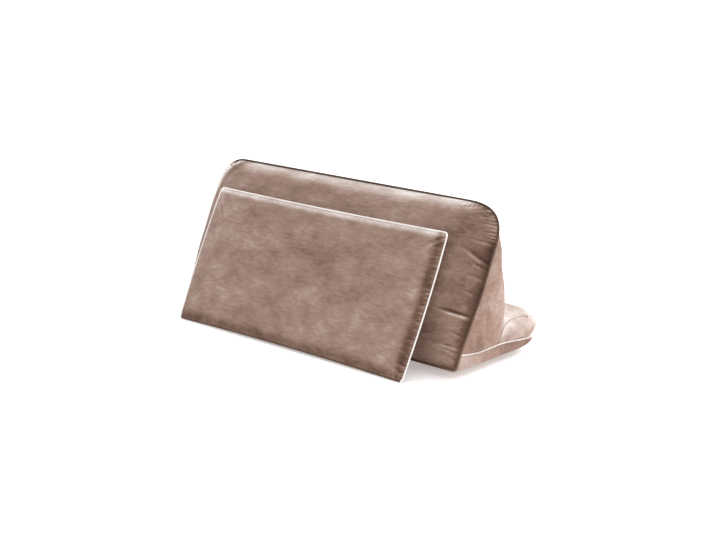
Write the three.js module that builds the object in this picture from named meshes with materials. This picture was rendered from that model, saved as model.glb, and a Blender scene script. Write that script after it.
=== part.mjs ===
import * as THREE from "three";
import { mergeVertices } from "three/addons/utils/BufferGeometryUtils.js";

// A stuffed back cushion, in millimetres. +X runs along it, +Y points from its slanted back to its foot,
// and +Z is up. A tall wedge stands in front of a low foot, piping edges the wedge's back panel and the
// base, and a flat padded flap with piping of its own leans on the crown of the back panel.
// The origin is first the middle of the back panel's bottom seam, and at the end the middle of the rest.

// Driving dimensions
const slantHeight = 422; // the back panel, from its bottom seam to the ridge
const slant = THREE.MathUtils.degToRad(27.8); // the back panel's lean from upright
const seamLift = 25; // the back panel's bottom seam above the surface
const wedgeDepth = 188; // the wedge at its base
const backCrown = 72; // how far the stuffing lifts the back panel out of its seams
const frontCrown = 14;
const gussetBulge = 12;
const footHalfLength = 495;
const footDepth = 148;
const footTop = 80; // the foot's side seam above the back panel's bottom seam
const footCrown = 13; // how much higher the foot is in its middle
const footCorner = 40; // the foot's front corners, seen from above
const footPuff = 10; // how far the foot's front and ends stand out above its piping
const baseDome = 110; // the stuffed base curves up to its seams over this length
const flapWidth = 808;
const flapHeight = 380;
const flapHalf = 17; // half the flap's thickness
const flapBow = 5; // how far the flap's sides stand out halfway up
const flapSlant = THREE.MathUtils.degToRad(26.3);
const flapFoot = new THREE.Vector3(8, -100, -21.6); // the middle of the flap's bottom seam
const pipingRadius = 3;
const gap = 0.4; // between neighbouring pieces
const contactGap = 1; // between the back panel and the flap that leans on it
const seamCorner = 9; // how tightly piping turns at a square corner
const seamInset = 2.7; // a filled body's edge lies this far inside and behind the centre of its piping

// The side edges of the back panel: their distance from the middle at a height along the slant.
// Above them the shoulders turn to the ridge: round at a fullness of 2, and squarer above it.
const sideEdges = [
  { up: 0, right: 498, left: 483 },
  { up: 60, right: 495, left: 488 },
  { up: 110, right: 497, left: 495 },
  { up: 200, right: 501, left: 502 },
  { up: 300, right: 496, left: 509 },
  { up: 360, right: 495, left: 510 },
];
const shoulders = {
  right: { across: 134, up: 120, fullness: 2.9 },
  left: { across: 70, up: 70, fullness: 2 },
};

// The front seam of the gusset: where it is at a height, up to where it joins the back panel's seam.
const frontSeam = [
  { height: 0, y: 188 },
  { height: 130, y: 188 },
  { height: 190, y: 183 },
  { height: 220, y: 177 },
  { height: 266, y: 168 },
  { height: 322, y: 170 },
];

// Along the side of the base, from the back panel to the front: its bottom seam and its piping.
const baseSeams = [
  { y: 0, bottom: 1, piping: 40 },
  { y: 44, bottom: 4, piping: 32 },
  { y: 90, bottom: 6, piping: 27 },
  { y: 160, bottom: 4, piping: 29 },
  { y: 206, bottom: 0, piping: 27 },
  { y: 262, bottom: -3, piping: 20 },
  { y: 300, bottom: 1, piping: 16 },
  { y: 336, bottom: 6, piping: 15 },
];

const velvet = new THREE.Color(0x9a7d70);
const pipingVelvet = new THREE.Color(0xb79d8e);
const { lerp, clamp, smoothstep } = THREE.MathUtils;

// Directions in the back panel and in the flap: up along the slant, and straight out.
const along = new THREE.Vector3(0, Math.sin(slant), Math.cos(slant));
const outward = new THREE.Vector3(0, -Math.cos(slant), Math.sin(slant));
const flapAlong = new THREE.Vector3(0, Math.sin(flapSlant), Math.cos(flapSlant));
const flapOutward = new THREE.Vector3(0, -Math.cos(flapSlant), Math.sin(flapSlant));

// A column of a table where its key column passes x, on straight lines between the rows.
function readTable(rows, key, column, x) {
  const next = clamp(rows.findIndex((row) => row[key] > x), 1, rows.length - 1);
  const [from, to] = x < rows.at(-1)[key] ? [rows[next - 1], rows[next]] : rows.slice(-2);
  return lerp(from[column], to[column], clamp((x - from[key]) / (to[key] - from[key]), 0, 1));
}

// Stuffed cloth rises fast out of a seam and then slowly: the share of its full height at a distance.
function swell(distance, quick, slow) {
  const quickShare = 1 - Math.exp(-distance / quick);
  const slowShare = 1 - (1 - clamp(distance / slow, 0, 1)) ** 2;
  return 0.45 * quickShare + 0.55 * slowShare;
}

// Moves every point of a primitive to its place, welds the points that meet, and drops the faces that
// have closed up.
function reshape(primitive, place) {
  const points = primitive.getAttribute("position");
  const point = new THREE.Vector3();
  for (let i = 0; i < points.count; i += 1) {
    point.fromBufferAttribute(points, i);
    points.setXYZ(i, ...place(point));
  }
  primitive.deleteAttribute("normal");
  primitive.deleteAttribute("uv");
  const welded = mergeVertices(primitive, 0.01);
  const faces = [];
  for (let i = 0; i < welded.index.count; i += 3) {
    const face = [0, 1, 2].map((k) => welded.index.getX(i + k));
    if (new Set(face).size === 3) faces.push(...face);
  }
  welded.setIndex(faces);
  welded.computeVertexNormals();
  return welded;
}

// The skin of a block with a grid line at each stop: across from -1 to 1, deep and up from 0 to 1.
function skin(stops, place) {
  const counts = ["across", "deep", "up"].map((name) => stops[name].length - 1);
  const block = new THREE.BoxGeometry(...counts, ...counts);
  const stop = (name, x) => stops[name][Math.round(x + (stops[name].length - 1) / 2)];
  return reshape(block, (p) => place(stop("across", p.x), stop("deep", p.y), stop("up", p.z)));
}

// Stops across a piece, close together by its ends: distances from an end, as shares of half its length.
function acrossStops(half, distances) {
  const ends = distances.map((distance) => 1 - distance / half);
  return [...ends.map((share) => -share), 0, ...ends.toReversed()];
}

// Half the back panel's width on one side, less an inset, at a height along the slant.
function halfWidth(side, s, inset) {
  const { across, up, fullness } = shoulders[side];
  const straight = readTable(sideEdges, "up", side, Math.min(s, slantHeight - up));
  const rise = clamp((s - slantHeight + up) / (up - inset), 0, 1);
  return straight - across + (across - inset) * (1 - rise ** fullness) ** (1 / fullness);
}

// The flap's half thickness at a distance from its sides and from its bottom and top seams.
function flapThickness(fromSide, fromBottom, fromTop) {
  return flapHalf * swell(fromSide, 9, 90) * swell(fromBottom, 9, 90) * swell(fromTop, 9, 90);
}

// How far the back panel can stand out at a point before it meets the flap's inner face.
function flapLimit(x, s) {
  const fromFoot = along.clone().multiplyScalar(s).sub(flapFoot);
  const up = clamp(fromFoot.dot(flapAlong), 0, flapHeight);
  const fromSide = Math.max(flapWidth / 2 - Math.abs(x - flapFoot.x), 0);
  return -fromFoot.dot(flapOutward) - flapThickness(fromSide, up, flapHeight - up) - contactGap;
}

// How far the back panel stands out of the plane of its edges.
function backHeight(x, s, fromSide) {
  const fromBottom = s - seamInset;
  const fromTop = slantHeight - seamInset - s;
  const free = backCrown * swell(fromSide, 20, 180) * swell(fromBottom, 20, 180) * swell(fromTop, 20, 180);
  return Math.min(free, flapLimit(x, s) + seamInset);
}

// The wedge's front at a height: the gusset's seam at the sides, where it is past the back seam, and in
// the middle an upright panel with a crown of its own above the foot.
function wedgeFront(z, fromSide, backSeam) {
  const ridge = along.clone().multiplyScalar(slantHeight);
  const crown = frontCrown * smoothstep(z, footTop, 2 * footTop) * swell(ridge.z - z, 15, 150);
  const middle = lerp(wedgeDepth, ridge.y, clamp((z - footTop) / (ridge.z - footTop), 0, 1)) + crown;
  const edge = Math.max(readTable(frontSeam, "height", "y", z), backSeam);
  return Math.max(lerp(edge, middle, swell(fromSide, 20, 140)), backSeam);
}

// How far a side panel stands out between its two upright seams, above the base's bottom seam.
function sideBulge(bulge, fromBack, fromFront, fromBottom) {
  return bulge * swell(fromBack, 12, 90) * swell(fromFront, 12, 90) * swell(fromBottom, 12, 60);
}

// The underside: flat on the surface in the middle, curved up to the seams along the back and the sides.
function underside(fromBack, fromSide, y) {
  const flatBack = 1 - (1 - clamp(fromBack / baseDome, 0, 1)) ** 2;
  const flatSide = 1 - (1 - clamp(fromSide / baseDome, 0, 1)) ** 2;
  const rim = lerp(readTable(baseSeams, "y", "bottom", y), 1, flatSide);
  return lerp(rim, -seamLift, flatBack * flatSide);
}

// A point of the wedge's side panel, which the base piping follows too.
function wedgeSide(side, y, z) {
  const s = (z + seamInset * outward.z) / along.z;
  const back = s * along.y - seamInset * outward.y;
  const front = wedgeFront(z, 0, back);
  return halfWidth(side, s, seamInset) + sideBulge(gussetBulge, y - back, front - y, s - seamInset);
}

function makeWedge() {
  const heights = [0, 10, 26, 50, 84, 124, 168, 212, 258, 302, 330, 355, 376, 393, 406, 414];
  const full = slantHeight - 2 * seamInset;
  const stops = {
    across: acrossStops(500, [0, 8, 24, 52, 95, 155, 230, 315, 405]),
    deep: [0, 0.06, 0.18, 0.36, 0.58, 0.8, 1],
    up: [...heights.map((height) => height / full), 1],
  };
  return skin(stops, (across, deep, up) => {
    const side = across < 0 ? "left" : "right";
    const s = lerp(seamInset, slantHeight - seamInset, up);
    const half = halfWidth(side, s, up === 0 && deep === 0 ? 2 * seamInset : seamInset);
    const fromSide = half * (1 - Math.abs(across));
    const point = along.clone().multiplyScalar(s).addScaledVector(outward, -seamInset);
    const backSeam = point.y;
    const front = up === 1 ? backSeam : wedgeFront(point.z, fromSide, backSeam);
    point.x = across * half;
    point.y = lerp(backSeam, front, deep);
    if (deep === 0) point.addScaledVector(outward, backHeight(point.x, s, fromSide));
    if (Math.abs(across) === 1 && deep > 0) point.x = across * wedgeSide(side, point.y, point.z);
    if (up === 0) point.z = underside(point.y - backSeam, fromSide, point.y);
    return point;
  });
}

// The foot's depth from the wedge to its front, rounded at the corners seen from above.
function footFront(x) {
  const past = clamp(Math.abs(x) - footHalfLength + footCorner, 0, footCorner);
  return wedgeDepth + footDepth - footCorner + Math.sqrt(footCorner ** 2 - past ** 2);
}

// Rounds the corner of a section: a point of the square corner moves onto the arc inside it.
function roundCorner(y, z, centreY, centreZ, radius) {
  const offset = new THREE.Vector2(y - centreY, z - centreZ).setLength(radius);
  return [centreY + offset.x, centreZ + offset.y];
}

function makeFoot() {
  const rear = wedgeDepth + gap;
  const radii = { rearTop: 40, frontTop: 48, frontBottom: 30 };
  const stops = {
    across: acrossStops(footHalfLength, [0, 8, 20, 40, 80, 140, 220, 310, 400]),
    deep: [0, 0.1, 0.19, 0.28, 0.46, 0.66, 0.78, 0.89, 1],
    up: [0, 0.1, 0.19, 0.28, 0.42, 0.58, 0.72, 0.86, 1],
  };
  return skin(stops, (across, deep, up) => {
    const x = across * footHalfLength;
    const fromSide = footHalfLength - Math.abs(x);
    const front = footFront(x);
    let y = lerp(rear, front, deep);
    const top = footTop + footCrown * swell(fromSide, 20, 150);
    const bottom = underside(y, fromSide, y);
    let z = lerp(bottom, top, up);
    if (up > 0.5 && z > top - radii.rearTop && y < rear + radii.rearTop) {
      [y, z] = roundCorner(y, z, rear + radii.rearTop, top - radii.rearTop, radii.rearTop);
    } else if (up > 0.5 && z > top - radii.frontTop && y > front - radii.frontTop) {
      [y, z] = roundCorner(y, z, front - radii.frontTop, top - radii.frontTop, radii.frontTop);
    } else if (z < bottom + radii.frontBottom && y > front - radii.frontBottom) {
      const centre = bottom + radii.frontBottom;
      [y, z] = roundCorner(y, z, front - radii.frontBottom, centre, radii.frontBottom);
    }
    const puff = footPuff * puffShare(y, z, top);
    const endShare = Math.abs(across) ** 8 * smoothstep(y, rear, rear + 60);
    const frontShare = clamp((y - rear) / (front - rear), 0, 1) ** 3;
    return new THREE.Vector3(x + Math.sign(x) * puff * endShare, y + puff * frontShare, z);
  });
}

// The foot stands out most halfway between its piping and its top.
function puffShare(y, z, top) {
  const low = readTable(baseSeams, "y", "piping", y) + 4 * pipingRadius;
  return Math.sin(Math.PI * clamp((z - low) / (top - low), 0, 1));
}

// The flap in its own plane: its ends draw in between the corners and its sides stand out. across from -1 to 1, up from 0 to 1.
function flapPoint(across, up, inset) {
  const midSide = 1 - (2 * up - 1) ** 2;
  const midEnd = 1 - across ** 2;
  const x = across * (flapWidth / 2 - inset + flapBow * midSide);
  const rise = lerp(inset + 5 * midEnd, flapHeight - inset - 3 * midEnd, up);
  return flapFoot.clone().addScaledVector(flapAlong, rise).add(new THREE.Vector3(x, 0, 0));
}

function makeFlap() {
  const inset = pipingRadius + 2 * gap;
  const stops = {
    across: acrossStops(flapWidth / 2, [0, 6, 16, 36, 70, 120, 190, 270]),
    deep: [0, 1],
    up: [0, 0.018, 0.05, 0.11, 0.2, 0.33, 0.5, 0.67, 0.8, 0.89, 0.95, 0.982, 1],
  };
  return skin(stops, (across, deep, up) => {
    const corner = Math.abs(across) === 1 && (up === 0 || up === 1);
    const point = flapPoint(across, up, corner ? inset + 3 : inset);
    const fromSide = (flapWidth / 2) * (1 - Math.abs(across));
    const thickness = flapThickness(fromSide, up * flapHeight, (1 - up) * flapHeight);
    return point.addScaledVector(flapOutward, deep === 0 ? thickness : -thickness);
  });
}

// A closed round cord: a ring bent so that it follows the points, which lie in the plane of normal.
function closedPiping(points, normal) {
  const path = new THREE.CatmullRomCurve3(points, true, "centripetal");
  const steps = 2 * points.length;
  const ringRadius = 100;
  const ring = new THREE.TorusGeometry(ringRadius, pipingRadius, 8, steps);
  return reshape(ring, (p) => {
    const share = Math.atan2(p.y, p.x) / (2 * Math.PI);
    const step = ((Math.round(share * steps) + steps) % steps) / steps;
    const side = new THREE.Vector3().crossVectors(path.getTangent(step), normal);
    const fromCentre = Math.hypot(p.x, p.y) - ringRadius;
    return path.getPoint(step).addScaledVector(side, fromCentre).addScaledVector(normal, p.z);
  });
}

// The points of a square corner's tight turn, as distances back along its two edges.
const tightTurn = [
  [seamCorner, 0],
  [0.29 * seamCorner, 0.29 * seamCorner],
  [0, seamCorner],
];

// The back panel's outline, from the left end of its bottom seam and round by the right.
function backOutline() {
  const corner = (side) => tightTurn.map(([x, s]) => [halfWidth(side, s, 0) - x, s]);
  const edge = (side) => [35, 60, 85, 110, 140, 170, 200, 235, 270].map((s) => [halfWidth(side, s, 0), s]);
  const turns = [0, 0.13, 0.26, 0.38, 0.5, 0.62, 0.74, 0.87, 1];
  const shoulder = (side) =>
    turns.map((turn) => {
      const { up } = shoulders[side];
      const s = slantHeight - up + up * Math.sin(turn * (Math.PI / 2));
      return [halfWidth(side, s, 0), s];
    });
  const halfOutline = (side) => [...corner(side), ...edge(side), ...shoulder(side)];
  const flat = [
    ...[-360, -180, 0, 180, 360].map((x) => [x, 0]),
    ...halfOutline("right"),
    ...[240, 100, -20, -140, -260, -360].map((x) => [x, slantHeight]),
    ...halfOutline("left").map(([x, s]) => [-x, s]).toReversed(),
  ];
  return flat.map(([x, s]) => along.clone().multiplyScalar(s).add(new THREE.Vector3(x, 0, 0)));
}

// The flap's outline, as shares of its half width and of its height.
function flapOutline() {
  const turn = tightTurn.map(([x, rise]) => [1 - x / (flapWidth / 2), rise / flapHeight]);
  const half = [
    ...[-0.8, -0.55, -0.3, 0, 0.3, 0.55, 0.8].map((across) => [across, 0]),
    ...turn,
    ...[0.15, 0.32, 0.5, 0.68, 0.85].map((up) => [1, up]),
    ...turn.map(([across, up]) => [across, 1 - up]).toReversed(),
  ];
  const outline = [...half, ...half.map(([across, up]) => [-across, 1 - up])];
  return outline.map(([across, up]) => flapPoint(across, up, 0));
}

// The base piping: along the right side from the back panel, round the foot's front and back on the left.
function makeBasePiping() {
  const stand = pipingRadius + 5 * gap;
  const height = (y) => readTable(baseSeams, "y", "piping", y);
  const front = wedgeDepth + footDepth;
  const cornerY = front - footCorner;
  const sidePoint = (side, y) => {
    const z = height(y);
    const x = y < wedgeDepth - 10 ? wedgeSide(side, y, z) : footHalfLength;
    return new THREE.Vector3(side === "left" ? -x - stand : x + stand, y, z);
  };
  const alongSide = [32, 50, 75, 100, 130, 160, 184, 200, 220, 245, 270];
  const cornerPoint = (sign, turn) => {
    const angle = turn * (Math.PI / 2);
    const x = footHalfLength - footCorner + (footCorner + stand) * Math.cos(angle);
    const y = cornerY + (footCorner + stand) * Math.sin(angle);
    return new THREE.Vector3(sign * x, y, height(y));
  };
  const turns = [0.1, 0.35, 0.65, 0.9];
  const points = [
    ...alongSide.map((y) => sidePoint("right", y)),
    ...turns.map((turn) => cornerPoint(1, turn)),
    ...[380, 190, 0, -190, -380].map((x) => new THREE.Vector3(x, front + stand, height(front))),
    ...turns.toReversed().map((turn) => cornerPoint(-1, turn)),
    ...alongSide.toReversed().map((y) => sidePoint("left", y)),
  ];
  const section = new THREE.Shape().absarc(0, 0, pipingRadius, 0, 2 * Math.PI);
  const path = new THREE.CatmullRomCurve3(points, false, "centripetal");
  path.arcLengthDivisions = 2000;
  const cord = new THREE.ExtrudeGeometry(section, { extrudePath: path, steps: 90, curveSegments: 8 });
  return reshape(cord, (p) => p.clone());
}

function addMesh(name, geometry, colour) {
  const material = new THREE.MeshStandardMaterial({ color: colour, roughness: 0.85, metalness: 0 });
  const mesh = new THREE.Mesh(geometry, material);
  mesh.name = name;
  cushion.add(mesh);
}

const cushion = new THREE.Group();
addMesh("wedge", makeWedge(), velvet);
addMesh("foot", makeFoot(), velvet);
addMesh("flap", makeFlap(), velvet);
addMesh("wedge_piping", closedPiping(backOutline(), outward), pipingVelvet);
addMesh("base_piping", makeBasePiping(), pipingVelvet);
addMesh("flap_piping", closedPiping(flapOutline(), flapOutward), pipingVelvet);

// Stands the cushion on the surface with the origin under the middle of the whole.
const whole = new THREE.Box3().setFromObject(cushion);
const middle = whole.getCenter(new THREE.Vector3());
cushion.position.set(-middle.x, -middle.y, seamLift);

export default cushion;
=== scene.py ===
import math

import bpy
import numpy as np
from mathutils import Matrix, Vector


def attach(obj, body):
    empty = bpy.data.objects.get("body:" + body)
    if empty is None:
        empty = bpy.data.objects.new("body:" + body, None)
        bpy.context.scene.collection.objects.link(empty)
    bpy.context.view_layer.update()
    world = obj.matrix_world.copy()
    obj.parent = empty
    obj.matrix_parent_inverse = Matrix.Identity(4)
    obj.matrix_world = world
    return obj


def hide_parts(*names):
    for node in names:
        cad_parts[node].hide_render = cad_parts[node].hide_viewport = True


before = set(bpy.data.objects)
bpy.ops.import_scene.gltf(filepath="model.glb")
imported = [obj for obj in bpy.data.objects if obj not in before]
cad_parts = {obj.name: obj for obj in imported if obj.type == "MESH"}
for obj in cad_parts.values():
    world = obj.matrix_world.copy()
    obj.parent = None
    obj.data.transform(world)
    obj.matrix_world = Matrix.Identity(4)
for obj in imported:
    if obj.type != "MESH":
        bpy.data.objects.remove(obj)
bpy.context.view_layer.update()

# Metres, +X along the cushion, +Y from the slanted back to the foot. The place is the middle of the back
# panel's bottom seam. One direction runs up the slanted panel, and the other stands square to it.
place = {"x": 0.0007, "y": -0.1211, "z": 0.025}
slant = math.radians(27.8)
slantHeight = 0.422
along = np.array([0.0, math.sin(slant), math.cos(slant)])
outward = np.array([0.0, -math.cos(slant), math.sin(slant)])
mm = 0.001

# The camera stands behind the cushion, to its right
view = {"spot": (2.6079, -2.7754, 1.1784), "target": (0.1806, -0.1227, 0.2226), "sensor": 36.0, "lens": 74.25}


def aimed(spot, target):
    # The turn of a camera or a light that looks from one point to another, its top upwards.
    return (Vector(target) - Vector(spot)).to_track_quat("-Z", "Y").to_euler()


def addCamera():
    data = bpy.data.cameras.new("camera")
    data.sensor_width, data.sensor_fit = view["sensor"], "HORIZONTAL"
    data.lens = view["lens"]
    camera = bpy.data.objects.new("camera", data)
    camera.location = view["spot"]
    camera.rotation_euler = aimed(view["spot"], view["target"])
    bpy.context.collection.objects.link(camera)
    bpy.context.scene.camera = camera


addCamera()
print("camera set")


# Shapes shared by the pieces
def smoothTable(keys, values, soft):
    # A curve through the rows: straight lines between them, rounded off over the length soft.
    fine = np.linspace(keys[0], keys[-1], 801)
    step = fine[1] - fine[0]
    reach = int(3 * soft / step)
    kernel = np.exp(-0.5 * (np.arange(-reach, reach + 1) * step / soft) ** 2)
    padded = np.pad(np.interp(fine, keys, values), reach, mode="reflect", reflect_type="odd")
    rounded = np.convolve(padded, kernel / kernel.sum(), mode="valid")
    return lambda x: np.interp(x, fine, rounded)


quickShare = 0.45  # how much of the swelling comes at once, beside the seam


def swell(distance, quick, slow):
    # Stuffed cloth out of a seam: a fast exponential rise and a slow parabola, as a share of full height.
    distance = np.maximum(distance, 0)
    slowRise = 1 - (1 - np.clip(distance / slow, 0, 1)) ** 2
    return quickShare * (1 - np.exp(-distance / quick)) + (1 - quickShare) * slowRise


def ease(x, low, high):
    # A smooth step: 0 up to low, 1 from high on, and a cubic between them.
    t = np.clip((x - low) / (high - low), 0, 1)
    return t * t * (3 - 2 * t)


def bell(distance, width):
    # 1 at no distance, about a third at the width, and next to nothing at twice the width.
    return np.exp(-((distance / width) ** 2))


def lumps(x, y, size, seed):
    # Smooth unevenness, mostly from -1 to 1: seven sine waves in chance directions, each about size long.
    rng = np.random.default_rng(seed)
    total = np.zeros(np.broadcast(x, y).shape)
    for _ in range(7):
        turn = rng.uniform(0, 2 * math.pi)
        wave = 2 * math.pi / (size * rng.uniform(0.7, 1.6))
        total += np.sin(wave * (x * math.cos(turn) + y * math.sin(turn)) + rng.uniform(0, 2 * math.pi))
    return total / 4


def puckers(run, distance, spacing, reach, seed):
    # Gathers beside a seam: two rows of uneven waves along the run, one coarser than the other, in patches.
    # They die away with the distance from the seam.
    flat = 0 * run
    finer = np.sin(2 * math.pi * run / spacing + 2.2 * lumps(run, flat, 6 * spacing, seed))
    coarser = np.sin(2 * math.pi * run / (1.63 * spacing) + 2.2 * lumps(run, flat, 9 * spacing, seed + 2))
    patches = 0.55 + 0.45 * lumps(run, flat, 20 * spacing, seed + 1)
    fade = np.exp(-distance / reach) * (1 - np.exp(-distance / (0.2 * reach)))
    return 0.6 * (finer + coarser) * patches * fade


def crease(x, y, fold):
    # A tuck from one end to the other: a soft trough with a ridge beside it, both fading at the ends.
    # The second value is its shade: dark on one wall of the trough, light on the other.
    x0, y0, x1, y1, width, depth = (fold[key] * mm for key in ("x0", "y0", "x1", "y1", "width", "depth"))
    length = math.hypot(x1 - x0, y1 - y0)
    ux, uy = (x1 - x0) / length, (y1 - y0) / length
    t = ((x - x0) * ux + (y - y0) * uy) / length
    beside = (-(x - x0) * uy + (y - y0) * ux) / width
    fade = depth * ease(t, -0.05, 0.2) * (1 - ease(t, 0.45, 1.0))
    height = fade * (0.6 * bell(beside - 1.7, 1.0) - bell(beside, 1.0))
    return height, fade * (1.5 * bell(beside - 1.0, 1.0) - bell(beside + 0.5, 1.0))


def creases(x, y, folds):
    # The heights of all the tucks added up, and their shades.
    return (sum(parts) for parts in zip(*(crease(x, y, fold) for fold in folds)))


def makeMesh(name, points, faces, pileAndLight=None):
    # An object of the points and faces, smooth, with a tone on each point that holds painted light and shade as
    # well as the pile's own.
    mesh = bpy.data.meshes.new(name)
    mesh.from_pydata(points.tolist(), [], faces)
    if pileAndLight is not None:
        mesh.attributes.new("pileAndLight", "FLOAT", "POINT").data.foreach_set("value", pileAndLight.astype(np.float32))
    mesh.shade_smooth()
    obj = bpy.data.objects.new(name, mesh)
    bpy.context.collection.objects.link(obj)
    return obj


def edgeStops(count, power):
    # Shares from -1 to 1 that crowd towards both ends.
    t = np.linspace(-1, 1, count)
    return np.sign(t) * (1 - (1 - np.abs(t)) ** power)


def skinGrids(counts):
    # The skin of a block: six grids of (across, deep, up) shares, and the way that each one faces.
    stops = {key: edgeStops(count, power) for key, (count, power) in counts.items()}
    for key in ("deep", "up"):
        stops[key] = (stops[key] + 1) / 2
    sides = [("deep", 0, False), ("deep", 1, True), ("across", -1, True), ("across", 1, False)]
    grids = []
    for axis, value, flip in sides + [("up", 0, True), ("up", 1, False)]:
        first, second = [key for key in ("across", "deep", "up") if key != axis]
        a, b = np.meshgrid(stops[first], stops[second], indexing="ij")
        shares = {first: a.ravel(), second: b.ravel(), axis: np.full(a.size, float(value))}
        grids.append((shares, a.shape, flip))
    return grids


weld = {"size": 1e-6, "shift": 3.14159e-7}  # the shift keeps round figures off the edges of the rounding


def joinGrids(grids, points):
    # Welds the grids' rims where their points meet, and gives the faces:
    # quads, or triangles where a rim is pinched.
    keys = np.round((points + weld["shift"]) / weld["size"]).astype(np.int64)
    _, first, back = np.unique(keys, axis=0, return_index=True, return_inverse=True)
    back = back.ravel()
    quads, count = [], 0
    for _, shape, flip in grids:
        grid = np.arange(shape[0] * shape[1]).reshape(shape) + count
        quad = np.stack([g.ravel() for g in (grid[:-1, :-1], grid[1:, :-1], grid[1:, 1:], grid[:-1, 1:])], 1)
        quads.append(quad[:, ::-1] if flip else quad)
        count += grid.size
    quads = back[np.concatenate(quads)]
    ordered = np.sort(quads, axis=1)
    whole = (ordered[:, 1:] != ordered[:, :-1]).all(axis=1)
    pinched = [list(dict.fromkeys(quad)) for quad in quads[~whole].tolist()]
    return first, back, quads[whole].tolist() + [face for face in pinched if len(face) > 2]


def doubled(grid):
    # Twice the rows and columns: each new value lies on the cubic through the four nearest old ones.
    for axis in (0, 1):
        grid = np.moveaxis(grid, axis, 0)
        padded = np.concatenate([2 * grid[:1] - grid[1:2], grid, 2 * grid[-1:] - grid[-2:-1]])
        between = (9 * (padded[1:-2] + padded[2:-1]) - padded[:-3] - padded[3:]) / 16
        finer = np.empty((2 * len(grid) - 1,) + grid.shape[1:])
        finer[0::2], finer[1::2] = grid, between
        grid = np.moveaxis(finer, 0, axis)
    return grid


cloth = {
    "frames": 14, "pressure": 4.0, "quality": 3, "stiffness": 15.0, "bending": 0.3, "weight": 0.3,
    "levels": 10,  # steps of the weights that hold and gather it
}


def stuff(name, points, faces, held, gathered, extra, cap):
    # Blows the cover up as cloth that its seams hold. The cloth is cut larger by the share extra where
    # it is gathered, so it wrinkles there. Gives each point's move, which levels off at the cap.
    shell = makeMesh(name, points, faces)
    for groupName, weights in (("held", held), ("gathered", gathered)):
        group = shell.vertex_groups.new(name=groupName)
        levels = np.round(weights * cloth["levels"]).astype(int)
        for level in range(1, cloth["levels"] + 1):
            group.add(np.flatnonzero(levels == level).tolist(), level / cloth["levels"], "REPLACE")
    modifier = shell.modifiers.new("cloth", "CLOTH")
    settings = modifier.settings
    settings.quality, settings.mass = cloth["quality"], cloth["weight"]
    settings.tension_stiffness = settings.compression_stiffness = cloth["stiffness"]
    settings.bending_stiffness = cloth["bending"]
    settings.use_pressure, settings.uniform_pressure_force = True, cloth["pressure"]
    settings.effector_weights.gravity = 0
    settings.vertex_group_mass, settings.vertex_group_shrink = "held", "gathered"
    settings.shrink_min, settings.shrink_max = 0.0, -extra
    modifier.collision_settings.use_collision = False
    for step in range(1, cloth["frames"] + 1):
        bpy.context.scene.frame_set(step)
    blown = shell.evaluated_get(bpy.context.evaluated_depsgraph_get()).data
    result = np.empty(len(points) * 3)
    blown.vertices.foreach_get("co", result)
    moved = result.reshape(-1, 3) - points
    bpy.context.scene.frame_set(1)
    bpy.data.objects.remove(shell)
    length = np.linalg.norm(moved, axis=1, keepdims=True) + 1e-12
    print(name, "moved", round(float(length.max()) * 1000, 1), "mm at most,",
          round(float(np.median(length)) * 1000, 1), "mm in the middle of the range")
    return moved * cap * np.tanh(length / cap) / length


def stuffedCover(name, counts, shape, extra, cap):
    # A coarse skin is blown up as cloth, and its moves are carried to a skin of twice the fineness,
    # which then gets the fine work: gathers, tucks and the tone, painted light and shade among it.
    coarse = skinGrids(counts)
    made = [shape(**shares, moved=np.zeros((size[0] * size[1], 3)), fine=False) for shares, size, _ in coarse]
    points, _, held, gathered = (np.concatenate(parts) for parts in zip(*made))
    first, back, faces = joinGrids(coarse, points)
    moved = stuff(name, points[first], faces, held[first], gathered[first], extra, cap)[back]
    finer = skinGrids({key: (2 * count - 1, power) for key, (count, power) in counts.items()})
    made, start = [], 0
    for (_, size, _), (shares, _, _) in zip(coarse, finer):
        count = size[0] * size[1]
        spread = doubled(moved[start:start + count].reshape(*size, 3)).reshape(-1, 3)
        made.append(shape(**shares, moved=spread, fine=True))
        start += count
    points, tone, _, _ = (np.concatenate(parts) for parts in zip(*made))
    first, back, faces = joinGrids(finer, points)
    return makeMesh(name, points[first], faces, tone[first])


# The outline of the back panel and the seams of the base, in millimetres as the maker measures them
sideUp = np.array([0, 60, 110, 200, 300, 360]) * mm
sideEdge = {
    "right": smoothTable(sideUp, np.array([498, 495, 497, 501, 496, 495]) * mm, 0.02),
    "left": smoothTable(sideUp, np.array([483, 488, 495, 502, 509, 510]) * mm, 0.02),
}
shoulder = {"right": (0.134, 0.120, 2.9), "left": (0.070, 0.070, 2.0)}  # across, up and fullness
frontUp = np.array([0, 20, 50, 75, 100, 130, 190, 220, 266, 322]) * mm
frontSeam = smoothTable(frontUp, np.array([175, 175, 182, 189, 193, 192, 185, 177, 168, 170]) * mm, 0.012)
baseY = np.array([0, 44, 90, 160, 206, 262, 300, 336]) * mm
baseBottom = smoothTable(baseY, np.array([0, -2, -2, -2, -3, -4, 0, 5]) * mm, 0.015)
basePiping = smoothTable(baseY, np.array([40, 32, 27, 29, 27, 20, 16, 15]) * mm, 0.015)


def halfWidth(s, inset, right):
    # The back panel's half width at a height: the side edge, then an elliptic shoulder to the ridge.
    result = np.zeros_like(s)
    for side, chosen in (("right", right), ("left", ~right)):
        across, up, fullness = shoulder[side]
        straight = sideEdge[side](np.minimum(s, slantHeight - up))
        rise = np.clip((s - slantHeight + up) / (up - inset), 0, 1)
        rounded = straight - across + (across - inset) * (1 - rise**fullness) ** (1 / fullness)
        result = np.where(chosen, rounded, result)
    return result


def toFrame(points):
    # From the back panel's bottom seam to the part's own frame.
    return points + np.array([place["x"], place["y"], place["z"]])
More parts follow.
